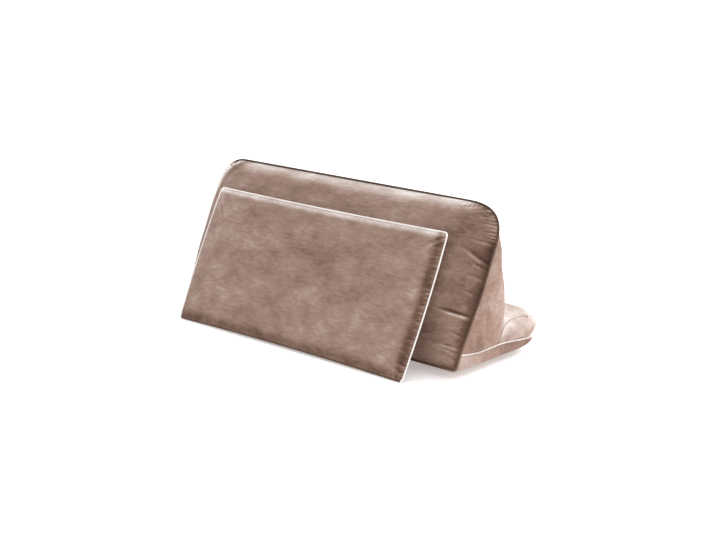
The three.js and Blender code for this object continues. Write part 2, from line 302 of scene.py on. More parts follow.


# In the tones, 0 is darkest and 1 palest, painted light and shade included. A rise is the quick and the slow
# reach of a swelling.
flap = {
    "width": 0.808, "height": 0.380, "half": 0.017, "slant": math.radians(26.3),
    "foot": np.array([0.008, -0.100, -0.0216]), "inset": 0.0015, "rise": (0.009, 0.085),
    "bow": 0.005, "drawn": {"bottom": 0.005, "top": 0.003}, "cornerDrawn": 0.002,
    "pucker": {"spacing": 0.0085, "reach": 0.010, "height": 0.0011, "atRight": 1.2},
    "gatherReach": 0.025, "extra": 0.03, "cap": 0.008,
    "tone": {
        "face": 0.475, "middle": 0.035, "top": 0.30, "right": 0.26, "bottom": 0.17, "tuckShading": 34,
        "gathers": 0.09, "rightGatherShading": 0.12, "back": 0.48,
    },
}
flapAlong = np.array([0.0, math.sin(flap["slant"]), math.cos(flap["slant"])])
flapOutward = np.array([0.0, -math.cos(flap["slant"]), math.sin(flap["slant"])])

wedge = {
    "inset": 0.0012, "depth": 0.188, "crown": 0.070, "frontCrown": 0.014, "gusset": 0.013, "flare": 0.008,
    "footTop": 0.080, "dome": 0.110, "contact": 0.0010, "contactEasing": 0.006, "liftReach": 0.035,
    "backRise": (0.017, 0.180), "frontRise": (0.02, 0.14), "ridgeRise": (0.012, 0.15),
    "gussetRise": {"back": (0.008, 0.08), "front": (0.010, 0.09), "bottom": (0.01, 0.06)},
    "groove": {"width": 0.008, "depth": 0.8},
    "pucker": {"spacing": 0.0075, "reach": 0.011, "height": 0.0016, "atShoulders": 1.6, "upSides": 1.3},
    "streaks": {"height": 0.0012, "size": 0.03, "rise": (0.01, 0.05)},
    "frontLumps": {"height": 0.0020, "size": 0.14},
    "gatherReach": 0.03, "extra": 0.04, "cap": 0.012,
    "tone": {
        "back": 0.45, "ridge": 0.34, "right": 0.08, "rightTopShade": 0.05, "tuckShading": 32, "seams": 0.13,
        "rightSeamShade": 0.10, "shoulders": 0.13, "leftSheen": 0.40, "leftShade": 0.10,
        "gathers": 0.06, "shoulderGatherLight": 0.55, "front": 0.50,
        "side": 0.41, "sideTop": 0.13, "streaks": 32, "strip": 0.55, "stripFront": 0.16,
    },
}
# Tucks in the back panel beside its right piping, in millimetres across and up the slant, seam end first.
backFolds = [
    {"x0": 500, "y0": 323, "x1": 440, "y1": 324, "width": 3.5, "depth": 3.2},
    {"x0": 497, "y0": 272, "x1": 440, "y1": 298, "width": 4.5, "depth": 5.0},
    {"x0": 496, "y0": 258, "x1": 466, "y1": 267, "width": 3.5, "depth": 3.0},
    {"x0": 497, "y0": 232, "x1": 462, "y1": 236, "width": 3.5, "depth": 1.8},
    {"x0": 497, "y0": 190, "x1": 465, "y1": 196, "width": 3.5, "depth": 1.8},
    {"x0": 497, "y0": 135, "x1": 418, "y1": 134, "width": 4.0, "depth": 8.5},
    {"x0": 494, "y0": 84, "x1": 455, "y1": 90, "width": 3.0, "depth": 2.2},
    {"x0": 492, "y0": 56, "x1": 430, "y1": 52, "width": 3.5, "depth": 4.0},
    {"x0": 492, "y0": 42, "x1": 445, "y1": 46, "width": 3.0, "depth": 3.5},
    {"x0": 492, "y0": 26, "x1": 462, "y1": 30, "width": 3.0, "depth": 2.2},
    {"x0": 490, "y0": 352, "x1": 460, "y1": 349, "width": 3.0, "depth": 2.0},
    {"x0": 478, "y0": 375, "x1": 444, "y1": 369, "width": 3.0, "depth": 2.8},
    {"x0": 463, "y0": 393, "x1": 428, "y1": 386, "width": 3.0, "depth": 3.0},
    {"x0": 441, "y0": 407, "x1": 402, "y1": 398, "width": 3.0, "depth": 3.0},
    {"x0": 416, "y0": 414, "x1": 372, "y1": 404, "width": 3.0, "depth": 2.6},
    {"x0": 391, "y0": 418, "x1": 350, "y1": 410, "width": 3.0, "depth": 2.2},
]
# Tucks in the flap beside its right piping, in millimetres: across from its middle and up from its lower edge.
flapFolds = [
    {"x0": 404, "y0": 374, "x1": 345, "y1": 330, "width": 5.0, "depth": 3.0},
    {"x0": 404, "y0": 350, "x1": 372, "y1": 336, "width": 4.0, "depth": 2.0},
    {"x0": 404, "y0": 318, "x1": 380, "y1": 322, "width": 3.5, "depth": 1.6},
    {"x0": 404, "y0": 285, "x1": 378, "y1": 279, "width": 3.5, "depth": 1.8},
    {"x0": 404, "y0": 236, "x1": 376, "y1": 240, "width": 4.0, "depth": 1.8},
    {"x0": 404, "y0": 196, "x1": 382, "y1": 190, "width": 3.5, "depth": 1.4},
    {"x0": 404, "y0": 150, "x1": 378, "y1": 155, "width": 3.5, "depth": 1.5},
    {"x0": 404, "y0": 108, "x1": 374, "y1": 100, "width": 4.0, "depth": 2.0},
    {"x0": 404, "y0": 70, "x1": 370, "y1": 76, "width": 3.5, "depth": 2.2},
    {"x0": 404, "y0": 42, "x1": 366, "y1": 38, "width": 3.5, "depth": 2.4},
    {"x0": 404, "y0": 16, "x1": 362, "y1": 30, "width": 3.5, "depth": 2.4},
]


def flapThickness(fromSide, fromBottom, fromTop):
    # Half the thickness: its full value times one swelling out of each edge.
    full = flap["half"]
    for distance in (fromSide, fromBottom, fromTop):
        full = full * swell(distance, *flap["rise"])
    return full


def flapLimit(x, s):
    # How far the back panel can stand out before it meets the flap's inner face.
    offset = s[:, None] * along - flap["foot"]
    up = np.clip(offset @ flapAlong, 0, flap["height"])
    fromSide = np.maximum(flap["width"] / 2 - np.abs(x - flap["foot"][0]), 0)
    return -(offset @ flapOutward) - flapThickness(fromSide, up, flap["height"] - up) - wedge["contact"]


def wedgeFront(z, fromSide, backSeam):
    # The upright front: the gusset's seam at the sides, and a crowned panel between them.
    ridgeY, ridgeZ = slantHeight * along[1], slantHeight * along[2]
    crown = wedge["frontCrown"] * ease(z, wedge["footTop"], 2 * wedge["footTop"])
    crown = crown * swell(ridgeZ - z, *wedge["ridgeRise"])
    share = np.clip((z - wedge["footTop"]) / (ridgeZ - wedge["footTop"]), 0, 1)
    middle = wedge["depth"] + (ridgeY - wedge["depth"]) * share + crown
    edge = np.maximum(frontSeam(z), backSeam)
    return np.maximum(edge + (middle - edge) * swell(fromSide, *wedge["frontRise"]), backSeam)


def underside(fromBack, fromSide, y):
    # Flat on the surface in the middle, domed up to the seams.
    flatBack = 1 - (1 - np.clip(fromBack / wedge["dome"], 0, 1)) ** 2
    flatSide = 1 - (1 - np.clip(fromSide / wedge["dome"], 0, 1)) ** 2
    rim = baseBottom(y) + (mm - baseBottom(y)) * flatSide
    return rim + (-place["z"] - rim) * flatBack * flatSide


def gussetBulge(y, z, back, front):
    # The side panel swells between its seams, with a groove along the base piping.
    rise = wedge["gussetRise"]
    bulge = wedge["gusset"] * swell(y - back, *rise["back"]) * swell(front - y, *rise["front"])
    bulge = bulge * swell(z - baseBottom(y), *rise["bottom"])
    return bulge * (1 - wedge["groove"]["depth"] * bell(z - basePiping(y), wedge["groove"]["width"]))


def stripTone(y):
    # The strip below the base piping, darker towards the foot's front.
    return wedge["tone"]["strip"] - wedge["tone"]["stripFront"] * ease(y, 0.04, 0.26)


def wedgeShape(across, deep, up, moved, fine):
    # Rows up the slanted back, each running from the back panel through the gusset to the front.
    inset, pileAndLight = wedge["inset"], wedge["tone"]
    s = inset + (slantHeight - 2 * inset) * up
    half = halfWidth(s, inset, across > 0)
    x = across * half
    fromSide = half - np.abs(x)
    seam = np.minimum(fromSide, np.minimum(s, slantHeight - s))
    plane = s[:, None] * along - inset * outward
    back = plane[:, 1].copy()
    front = np.where(up == 1, back, wedgeFront(plane[:, 2], fromSide, back))
    onBack, onSide = deep == 0, (np.abs(across) == 1) & (deep > 0)
    onFront = (deep == 1) & ~onSide & (up < 1)
    inside = seam > inset * 1.01
    plane[:, 0] = x
    point = plane.copy()
    point[:, 1] = back + (front - back) * deep
    # The crowned back, the swelling gussets and the lift of their lower edges to the base's seam.
    rise = wedge["crown"] * swell(fromSide, *wedge["backRise"])
    rise *= swell(s - inset, *wedge["backRise"]) * swell(slantHeight - inset - s, *wedge["backRise"])
    point += np.where(onBack & inside, rise, 0)[:, None] * outward
    bulge = gussetBulge(point[:, 1], point[:, 2], back, front)
    bulge += wedge["flare"] * ease(point[:, 2], 0.2, 0.28) * ease(front - back, 0, 0.03) * deep
    point[:, 0] += np.where(onSide, across * bulge, 0)
    lowest = underside(point[:, 1] - back, fromSide, point[:, 1])
    lift = baseBottom(point[:, 1]) - inset * (along[2] - outward[2])
    lift *= (1 - np.clip(s / wedge["liftReach"], 0, 1)) ** 2
    point[:, 2] += np.where(onSide, lift, 0)
    point[:, 2] = np.where(up == 0, lowest, point[:, 2])
    # What the cloth is held by: its seams, the underside and the foot.
    seamed = onBack & ~inside | (up == 1) | onSide & (deep == 1)
    held = seamed | (up == 0) | onFront & (point[:, 2] < wedge["footTop"] + 0.01)
    fromSeam = np.where(onSide, np.minimum(point[:, 1] - back, front - point[:, 1]), seam)
    gathered = np.exp(-fromSeam / wedge["gatherReach"]) * ~onFront
    pinched = (front <= back) & ~(onBack & inside)
    point += np.where(pinched[:, None], 0, moved)
    tone = np.full(x.shape, pileAndLight["front"])
    if fine:
        pucker, streak, lump = wedge["pucker"], wedge["streaks"], wedge["frontLumps"]
        run = np.where(fromSide < np.minimum(s, slantHeight - s), s * pucker["upSides"], x)
        gathers = pucker["height"] * puckers(run, seam, pucker["spacing"], pucker["reach"], 3)
        gathers *= 1 + pucker["atShoulders"] * ease(np.abs(x), 0.36, 0.47) * ease(s, 0.30, 0.36)
        folds, foldShade = creases(x, s, backFolds)
        point += np.where(onBack & inside, gathers + folds * ease(seam, 0, 0.025), 0)[:, None] * outward
        streaks = streak["height"] * lumps(point[:, 1], 0.3 * point[:, 2], streak["size"], 21)
        streaks *= swell(point[:, 1] - back, *streak["rise"]) * swell(front - point[:, 1], *streak["rise"])
        streaks *= ease(point[:, 2], 0.01, 0.06)
        point[:, 0] += np.where(onSide, across * streaks, 0)
        uneven = lump["height"] * lumps(x, point[:, 2], lump["size"], 31) * swell(fromSide, 0.02, 0.1)
        uneven *= ease(point[:, 2], 0.1, 0.16) * swell(slantHeight - s, 0.02, 0.06)
        point[:, 1] += np.where(onFront, uneven, 0)
        # Painted light and shade: a painted highlight along the ridge, painted shade beside the seams and over
        # the right side.
        ridgeLit = bell(slantHeight - s, 0.025) * (1 - ease(np.abs(x), 0.37, 0.45))
        atShoulder = ease(s, 0.31, 0.35) * ease(np.abs(x), 0.30, 0.38)
        shaded = bell(seam, 0.010) * (1 - ridgeLit) * (1 - 0.7 * atShoulder)
        tone = pileAndLight["back"] + pileAndLight["ridge"] * ridgeLit
        # Painted shade over the right part of the panel, deeper higher up.
        tone -= ease(x, 0.34, 0.43) * (pileAndLight["right"] + pileAndLight["rightTopShade"] * ease(s, 0.22, 0.32))
        # Painted shade and light on the walls of the tucks, and a painted highlight beside the seams at the
        # shoulders.
        tone += pileAndLight["tuckShading"] * foldShade + pileAndLight["shoulders"] * bell(seam, 0.012) * atShoulder
        # Painted shade beside the seams, deeper along the right piping.
        tone -= (pileAndLight["seams"] + pileAndLight["rightSeamShade"] * ease(x, 0.44, 0.48)) * shaded
        # A painted sheen where the panel turns away at the left, with a band of painted shade beside it.
        fromLeft = np.where(x < 0, fromSide, 1.0)
        tone += pileAndLight["leftSheen"] * bell(fromLeft - 0.012, 0.012)
        tone -= pileAndLight["leftShade"] * bell(fromLeft - 0.045, 0.014)
        # Painted light and shade on the gathers beside the seams, mostly painted highlight at the shoulders.
        gatherShading = np.clip(gathers / pucker["height"], 0.8 * atShoulder - 1, 1.5)
        gatherShading *= bell(seam - 0.006, 0.006 + 0.006 * atShoulder)
        tone += gatherShading * (pileAndLight["gathers"] + pileAndLight["shoulderGatherLight"] * atShoulder)
        sideTone = pileAndLight["side"] + pileAndLight["streaks"] * streaks + pileAndLight["sideTop"] * ease(point[:, 2], 0.0, 0.2)
        inStrip = point[:, 2] < basePiping(point[:, 1])
        sideTone = np.where(inStrip, stripTone(point[:, 1]), sideTone)
        tone = np.where(onSide, sideTone, np.where(onBack, tone, pileAndLight["front"]))
    # The flap, the foot and the surface below stop the cloth.
    easing = wedge["contactEasing"]
    stands = (point - plane) @ outward
    limit = flapLimit(x, s) + inset
    over = stands > limit - easing
    eased = limit - easing * np.exp(-(stands - limit + easing) / easing)
    point -= np.where(onBack & over & inside, stands - eased, 0)[:, None] * outward
    point[:, 2] = np.where(up == 0, np.maximum(point[:, 2], -place["z"]), point[:, 2])
    byFoot = onFront & (point[:, 2] < wedge["footTop"])
    point[:, 1] = np.where(byFoot, np.minimum(point[:, 1], wedge["depth"]), point[:, 1])
    return toFrame(point), tone, held.astype(float), gathered


def makeWedge():
    # Points each way on the coarse skin, and how much they crowd towards the edges.
    counts = {"across": (117, 1.5), "deep": (25, 1.4), "up": (81, 1.25)}
    return stuffedCover("wedge_cover", counts, wedgeShape, wedge["extra"], wedge["cap"])


foot = {
    "half": 0.495, "depth": 0.148, "top": 0.080, "crown": 0.013, "corner": 0.040, "puff": 0.011, "strip": 0.003,
    "rearTop": 0.036, "frontTop": (0.028, 0.018), "frontBottom": (0.009, 0.021),  # at the ends, more inwards
    "narrow": 0.008, "narrowReach": 0.06, "gap": 0.0004, "extra": 0.03, "cap": 0.004,
    "lumps": {"height": 0.0018, "size": 0.11, "fineHeight": 0.0009, "fineSize": 0.04},
    "endFolds": {"height": 0.0024, "size": 0.045},
    "tone": {
        "cover": 0.57, "top": 0.14, "ends": 0.06, "uneven": 0.03,
        "endPanel": 0.56, "endTopHighlight": 0.12, "endUneven": 0.07, "rim": 0.25,
    },
}


def footHalf(y, right):
    # Half the foot's length: on the left it narrows to the wedge's side.
    narrow = foot["narrow"] * (1 - ease(y, wedge["depth"], wedge["depth"] + foot["narrowReach"]))
    return foot["half"] - np.where(right, 0, narrow)


def roundCorner(y, z, cornerY, cornerZ, radius, upward, forward):
    # Rounds a square corner of the foot's section: squares about the arc's centre become quarter circles.
    centreY, centreZ = cornerY - forward * radius, cornerZ - upward * radius
    dy, dz = y - centreY, z - centreZ
    inside = (dy * forward > 0) & (dz * upward > 0)
    scale = np.maximum(np.abs(dy), np.abs(dz)) / np.maximum(np.hypot(dy, dz), 1e-9)
    return np.where(inside, centreY + dy * scale, y), np.where(inside, centreZ + dz * scale, z)


def footShape(across, deep, up, moved, fine):
    # A rounded bolster section, crowned along its length, with flat ends that puff above the piping.
    rear, pileAndLight = wedge["depth"] + foot["gap"], foot["tone"]
    x = across * foot["half"]
    fromSide = foot["half"] - np.abs(x)
    past = np.clip(foot["corner"] - fromSide, 0, foot["corner"])
    front = wedge["depth"] + foot["depth"] - foot["corner"] + np.sqrt(foot["corner"] ** 2 - past**2)
    y = rear + (front - rear) * deep
    top = foot["top"] + foot["crown"] * swell(fromSide, 0.018, 0.15)
    bottom = underside(y, fromSide, y)
    z = bottom + (top - bottom) * up
    fromEnd = ease(fromSide, 0, 0.1)
    frontTop, frontBottom = (foot[key][0] + foot[key][1] * fromEnd for key in ("frontTop", "frontBottom"))
    y, z = roundCorner(y, z, rear, top, foot["rearTop"], 1, -1)
    y, z = roundCorner(y, z, front, top, frontTop, 1, 1)
    y, z = roundCorner(y, z, front, bottom, frontBottom, -1, 1)
    low = basePiping(y) + 0.002
    retreat = np.minimum(frontSeam(z) - wedge["depth"], 0) * (1 - swell(fromSide, *wedge["frontRise"]))
    y += retreat * (1 - deep) ** 2
    x = across * footHalf(y, across > 0)
    puff = foot["puff"] * np.sin(math.pi * np.clip((z - low) / (top - low), 0, 1)) ** 1.1
    stripShare = np.clip((z - bottom) / np.maximum(low - bottom, 1e-4), 0, 1)
    push = puff + foot["strip"] * np.sin(math.pi * stripShare) * (z < low)
    endShare = np.abs(across) ** 10 * ease(y, rear, rear + 0.05)
    frontShare = np.clip((y - rear) / (front - rear), 0, 1) ** 3
    point = np.stack([x + np.sign(x) * push * endShare, y + push * frontShare, z], 1)
    onEnd = np.abs(across) == 1
    rim = onEnd & ((up == 1) | (up == 0) | (deep == 0) | (deep == 1))
    held = rim | (up == 0) | (deep == 0) | (np.abs(z - low) < 0.003) & (onEnd | (deep == 1))
    gathered = np.exp(-np.minimum(fromSide + onEnd, np.abs(z - low)) / 0.03) * ~(deep == 0)
    point += moved
    tone = np.full(x.shape, pileAndLight["cover"])
    if fine:
        lump, fold = foot["lumps"], foot["endFolds"]
        soft = lump["height"] * lumps(x + 0.3 * z, y + z, lump["size"], 41)
        soft += lump["fineHeight"] * lumps(x, y + z, lump["fineSize"], 42)
        soft *= ease(z, low, low + 0.03) * ease(y, rear, rear + 0.04)
        endFolds = fold["height"] * lumps(y * 1.3, z * 0.4, fold["size"], 43)
        endFolds *= np.abs(across) ** 12 * ease(z, low, low + 0.02) * endShare
        point[:, 0] += np.sign(x) * endFolds
        point[:, 1] += soft
        point[:, 2] += soft * ease(up, 0.6, 1.0) * swell(fromSide, 0.01, 0.03)
        # Painted paler than the wedge and lighter still on top of the cover and the ends: painted highlight for
        # the light on the foot. Lighter towards the ends, with a dark line at the end panels' seams.
        onTop = ease(z, 0.45 * top, 0.8 * top)
        tone = pileAndLight["cover"] + pileAndLight["top"] * onTop + pileAndLight["uneven"] * lumps(x, y + z, 0.05, 44)
        tone += pileAndLight["ends"] * ease(np.abs(x), 0.40, 0.48)
        endTone = pileAndLight["endPanel"] + pileAndLight["endTopHighlight"] * onTop + pileAndLight["endUneven"] * lumps(y, z, 0.035, 45)
        tone = np.where(onEnd, endTone, tone)
        cornerArc = foot["corner"] * np.arccos(np.clip(1 - fromSide / foot["corner"], 0, 1))
        fromRim = np.where(deep == 1, cornerArc, fromSide)
        tone -= pileAndLight["rim"] * bell(fromRim, 0.0025) * (z > low + 0.01) * (rim | ~onEnd)
        tone = np.where(z < low, stripTone(y), tone)
    point[:, 1] = np.maximum(point[:, 1], rear + retreat)
    point[:, 2] = np.maximum(point[:, 2], -place["z"])
    return toFrame(point), tone, held.astype(float), gathered


def makeFoot():
    counts = {"across": (101, 1.8), "deep": (31, 1.2), "up": (31, 1.2)}
    return stuffedCover("foot_cover", counts, footShape, foot["extra"], foot["cap"])


def flapOutlinePoint(across, up, inset):
    # The flap's plane, its edges drawn in between the corners.
    midSide, midEnd = 1 - (2 * up - 1) ** 2, 1 - across**2
    drawn = flap["drawn"]
    x = across * (flap["width"] / 2 - inset + flap["bow"] * midSide)
    low = inset + drawn["bottom"] * midEnd
    high = flap["height"] - inset - drawn["top"] * midEnd
    point = flap["foot"] + (low + (high - low) * up)[:, None] * flapAlong
    point[:, 0] += x
    return point


def flapShape(across, deep, up, moved, fine):
    # A thin pillow: its two faces swell away from the plane of its seams.
    pileAndLight = flap["tone"]
    corner = np.clip((np.abs(across) - 0.985) / 0.015, 0, 1) * np.clip((np.abs(up - 0.5) - 0.47) / 0.03, 0, 1)
    point = flapOutlinePoint(across, up, flap["inset"] + flap["cornerDrawn"] * corner)
    fromSide = flap["width"] / 2 * (1 - np.abs(across))
    fromBottom, fromTop = up * flap["height"], (1 - up) * flap["height"]
    seam = np.minimum(fromSide, np.minimum(fromBottom, fromTop))
    thick = flapThickness(fromSide, fromBottom, fromTop)
    outer, rim = deep == 0, seam < 1e-9
    point += np.where(rim, 0, np.where(outer, thick, -thick))[:, None] * flapOutward
    point += moved
    x = across * flap["width"] / 2
    gathered = np.exp(-seam / flap["gatherReach"]) * (0.5 + 0.5 * ease(x, 0.0, 0.35))
    tone = np.full(x.shape, pileAndLight["back"])
    if fine:
        pucker = flap["pucker"]
        run = np.where(fromSide < np.minimum(fromBottom, fromTop), fromBottom, x)
        gathers = pucker["height"] * puckers(run, seam, pucker["spacing"], pucker["reach"], 51)
        gathers *= 1 + pucker["atRight"] * ease(x, 0.2, 0.38)
        folds, foldShade = creases(x, fromBottom, flapFolds)
        point += np.where(outer & ~rim, gathers + folds * ease(seam, 0, 0.01), 0)[:, None] * flapOutward
        # Painted light and shade: a painted highlight along the top, painted shade at the right and below,
        # painted light and shade on the gathers and tucks, and a little darker in the middle.
        tone = pileAndLight["face"] + pileAndLight["top"] * bell(fromTop - 0.005, 0.008)
        tone -= pileAndLight["middle"] * bell(x, 0.2) * bell(up - 0.6, 0.35)
        rightShade = pileAndLight["right"] * bell(flap["width"] / 2 - x - 0.014, 0.014)
        tone -= np.maximum(rightShade, pileAndLight["bottom"] * bell(fromBottom - 0.008, 0.014))
        gatherShading = np.clip(gathers / pucker["height"], -1, 2) * bell(seam - 0.006, 0.007)
        tone += (pileAndLight["gathers"] + pileAndLight["rightGatherShading"] * ease(x, 0.37, 0.40)) * gatherShading
        tone = np.where(outer, tone + pileAndLight["tuckShading"] * foldShade, pileAndLight["back"])
    return toFrame(point), tone, (rim | ~outer).astype(float), gathered


def makeFlap():
    counts = {"across": (131, 1.6), "deep": (2, 1.0), "up": (71, 1.4)}
    return stuffedCover("flap_cover", counts, flapShape, flap["extra"], flap["cap"])


# Piping: a cord wrapped in the cover's cloth
piping = {
    "radius": 0.003, "slim": 0.0020, "sides": 14, "step": 0.0022, "routeStep": 0.002,
    "full": 0.94, "ripple": 0.05, "spacing": 0.006, "taper": 0.003, "stand": 0.0015, "baseStart": 0.022,
    "tone": {
        "back": 0.11, "right": 0.07, "bottom": 0.10, "left": 0.85, "base": 0.82,
        "flap": 0.90, "flapBottomShade": 0.68, "ripple": 0.04,
    },
}


def resample(points, step, closed):
    # Points an equal step apart along the route.
    if closed:
        points = np.concatenate([points, points[:1]])
    lengths = np.concatenate([[0], np.cumsum(np.linalg.norm(np.diff(points, axis=0), axis=1))])
    count = int(lengths[-1] / step)
    stations = np.linspace(0, lengths[-1], count, endpoint=not closed)
    return np.stack([np.interp(stations, lengths, points[:, k]) for k in range(3)], 1)


def soften(points, step, reach, closed):
    # Evens out a route's points, and rounds it off by a bell-shaped average over its neighbours.
    points = resample(points, step, closed)
    kernel = np.exp(-0.5 * (np.arange(-3 * reach, 3 * reach + 1) / reach) ** 2)
    kernel /= kernel.sum()
    if closed:
        padded = np.concatenate([points[-3 * reach:], points, points[:3 * reach]])
    else:
        padded = np.pad(points, ((3 * reach, 3 * reach), (0, 0)), mode="reflect", reflect_type="odd")
    return np.stack([np.convolve(padded[:, k], kernel, mode="valid") for k in range(3)], 1)


def makePiping(name, route, closed, normal, radius, seed, tone):
    # A round section carried along the route, its radius rippled by the gathered cloth.
    route = soften(route, piping["step"], 2, closed)
    ahead = np.roll(route, -1, 0) - np.roll(route, 1, 0) if closed else np.gradient(route, axis=0)
    ahead /= np.linalg.norm(ahead, axis=1, keepdims=True)
    side = np.cross(ahead, normal)
    side /= np.linalg.norm(side, axis=1, keepdims=True)
    rise = np.cross(side, ahead)
    run = np.arange(len(route)) * piping["step"]
    turn = np.linspace(0, 2 * math.pi, piping["sides"], endpoint=False)
    ripple = np.sin(2 * math.pi * run / piping["spacing"] + 1.5 * lumps(run, 0 * run, 0.05, seed))
    radius = radius * (piping["full"] + piping["ripple"] * ripple)
    if not closed:
        radius = radius * np.sqrt(np.clip(np.minimum(run, run[::-1]) / piping["taper"], 0.02, 1))
    ring = np.cos(turn)[None, :, None] * side[:, None] + np.sin(turn)[None, :, None] * rise[:, None]
    points = (route[:, None] + radius[:, None, None] * ring).reshape(-1, 3)
    count, sides = len(route), piping["sides"]
    rows = np.arange(count if closed else count - 1)
    a = (rows[:, None] * sides + np.arange(sides)).ravel()
    b = (rows[:, None] * sides + (np.arange(sides) + 1) % sides).ravel()
    c, d = (a + sides) % len(points), (b + sides) % len(points)
    faces = np.stack([a, c, d, b], 1).tolist()
    if not closed:
        lastRing = (count - 1) * sides
        faces += [list(range(sides)), list(range(lastRing, lastRing + sides))[::-1]]
    tones = np.repeat(tone(route) + piping["tone"]["ripple"] * ripple, sides)
    return makeMesh(name, toFrame(points), faces, tones)


def wedgePipingRoute():
    # The back panel's outline: bottom seam, right edge and shoulder, ridge, left shoulder and edge.
    closer = np.sin(np.linspace(0, math.pi / 2, 40))[1:]  # rows that crowd where the shoulder meets the ridge
    halves = []
    for right in (True, False):
        start = slantHeight - shoulder["right" if right else "left"][1]
        s = np.concatenate([np.linspace(0, start, 60), start + (slantHeight - start) * closer])
        x = halfWidth(s, 0.0, np.full(s.shape, right))
        halves.append(np.stack([x if right else -x, s], 1))
    flat = np.concatenate([halves[0], halves[1][::-1]])
    points = flat[:, 1:] * along
    points[:, 0] = flat[:, 0]
    return soften(points, piping["routeStep"], 2, True)


def flapPipingRoute():
    # The flap's outline: along its lower edge, up the right side, back along the top and down the left side.
    edge = np.linspace(-1, 1, 80)
    flat, up = 0 * edge, (edge + 1) / 2
    sides = ((edge, flat), (flat + 1, up), (-edge, flat + 1), (flat - 1, up[::-1]))
    points = np.concatenate([flapOutlinePoint(across, height, 0.0)[:-1] for across, height in sides])
    return soften(points, piping["routeStep"], 2, True)


def basePipingRoute():
    # Along both sides of the base and round the foot's front.
    stand, inset = piping["stand"], wedge["inset"]
    turn = np.linspace(0, math.pi / 2, 30)
    radius = foot["corner"] + stand
    cornerX = foot["half"] - foot["corner"]
    cornerY = wedge["depth"] + foot["depth"] - foot["corner"]
    halves = []
    for right in (True, False):
        y = np.linspace(piping["baseStart"], wedge["depth"], 80)
        z = basePiping(y)
        s = (z + inset * outward[2]) / along[2]
        back = s * along[1] - inset * outward[1]
        x = halfWidth(s, inset, np.full(s.shape, right))
        x += gussetBulge(y, z, back, wedgeFront(z, 0 * z, back))
        x += (footHalf(y, right) - x) * ease(y, wedge["depth"] - 0.03, wedge["depth"])
        wedgePart = np.stack([x + stand, y, z], 1)
        y = np.linspace(wedge["depth"], cornerY, 22)[1:-1]
        endPart = np.stack([footHalf(y, right) + stand, y, basePiping(y)], 1)
        y = cornerY + radius * np.sin(turn)
        footPart = np.stack([cornerX + radius * np.cos(turn), y, basePiping(y)], 1)
        half = np.concatenate([wedgePart, endPart, footPart])
        half[:, 0] *= 1 if right else -1
        halves.append(half)
    return soften(np.concatenate([halves[0], halves[1][::-1]]), piping["routeStep"], 5, False)


wedgeCover = makeWedge()
footCover = makeFoot()
flapCover = makeFlap()
print("stuffed pieces made")


def backPipingTone(route):
    # Dark, less so at the bottom and at the far right, and pale where it catches the light at the left.
    shade, right = piping["tone"], route[:, 0]
    tone = shade["back"] + shade["right"] * ease(right, 0.46, 0.49) + shade["left"] * ease(-right, 0.46, 0.50)
    return tone + shade["bottom"] * ease(0.1 - route @ along, 0, 0.1)


def basePipingTone(route):
    return np.full(len(route), piping["tone"]["base"])


def flapPipingTone(route):
    # Pale, a painted highlight for the light along the flap's edges, and dark along the lower edge: painted
    # shade where it stands in the flap's shade.
    offset = route - flap["foot"]
    atBottom = ease(-offset @ flapAlong, -0.02, -0.004) * (np.abs(offset[:, 0]) < flap["width"] / 2 - 0.004)
    return piping["tone"]["flap"] - piping["tone"]["flapBottomShade"] * atBottom


upright = np.array([0.0, 0.0, 1.0])
thick, slim = piping["radius"], piping["slim"]
wedgePipe = makePiping("wedge_cord_piping", wedgePipingRoute(), True, outward, thick, 61, backPipingTone)
basePipe = makePiping("base_cord_piping", basePipingRoute(), False, upright, slim, 62, basePipingTone)
flapPipe = makePiping("flap_cord_piping", flapPipingRoute(), True, flapOutward, slim, 63, flapPipingTone)
print("piping made")


# Materials: an expression on a socket adds its Math nodes
class Socket:
    def __init__(self, tree, link):
        self.tree, self.link = tree, link

    def math(self, operation, other, swap=False):
        first, second = (other, self) if swap else (self, other)
        return addNode(self.tree, "ShaderNodeMath", {"operation": operation}, {0: first, 1: second})

    def __add__(self, other):
        return self.math("ADD", other)

    def __sub__(self, other):
        return self.math("SUBTRACT", other)

    def __rsub__(self, other):
        return self.math("SUBTRACT", other, swap=True)

    def __mul__(self, other):
        return self.math("MULTIPLY", other)

    __radd__, __rmul__ = __add__, __mul__


def addNode(tree, kind, settings, inputs, output=0):
    # One node: its settings first, then each socket's value or link.
    node = tree.nodes.new(kind)
    for key, value in settings.items():
        if key == "stops":
            for index, (position, colour) in enumerate(value):
                elements = node.color_ramp.elements
                element = elements[index] if index < 2 else elements.new(position)
                element.position, element.color = position, colour
        else:
            setattr(node, key, value)
    for key, value in inputs.items():
        if isinstance(value, Socket):
            tree.links.new(value.link, node.inputs[key])
        else:
            node.inputs[key].default_value = value
    return Socket(tree, node.outputs[output]) if node.outputs else None


def srgb(red, green, blue):
    # A colour as seen, 0 to 255, turned to linear light.
    linear = [c / 255 / 12.92 if c < 11 else ((c / 255 + 0.055) / 1.055) ** 2.4 for c in (red, green, blue)]
    return (*linear, 1.0)


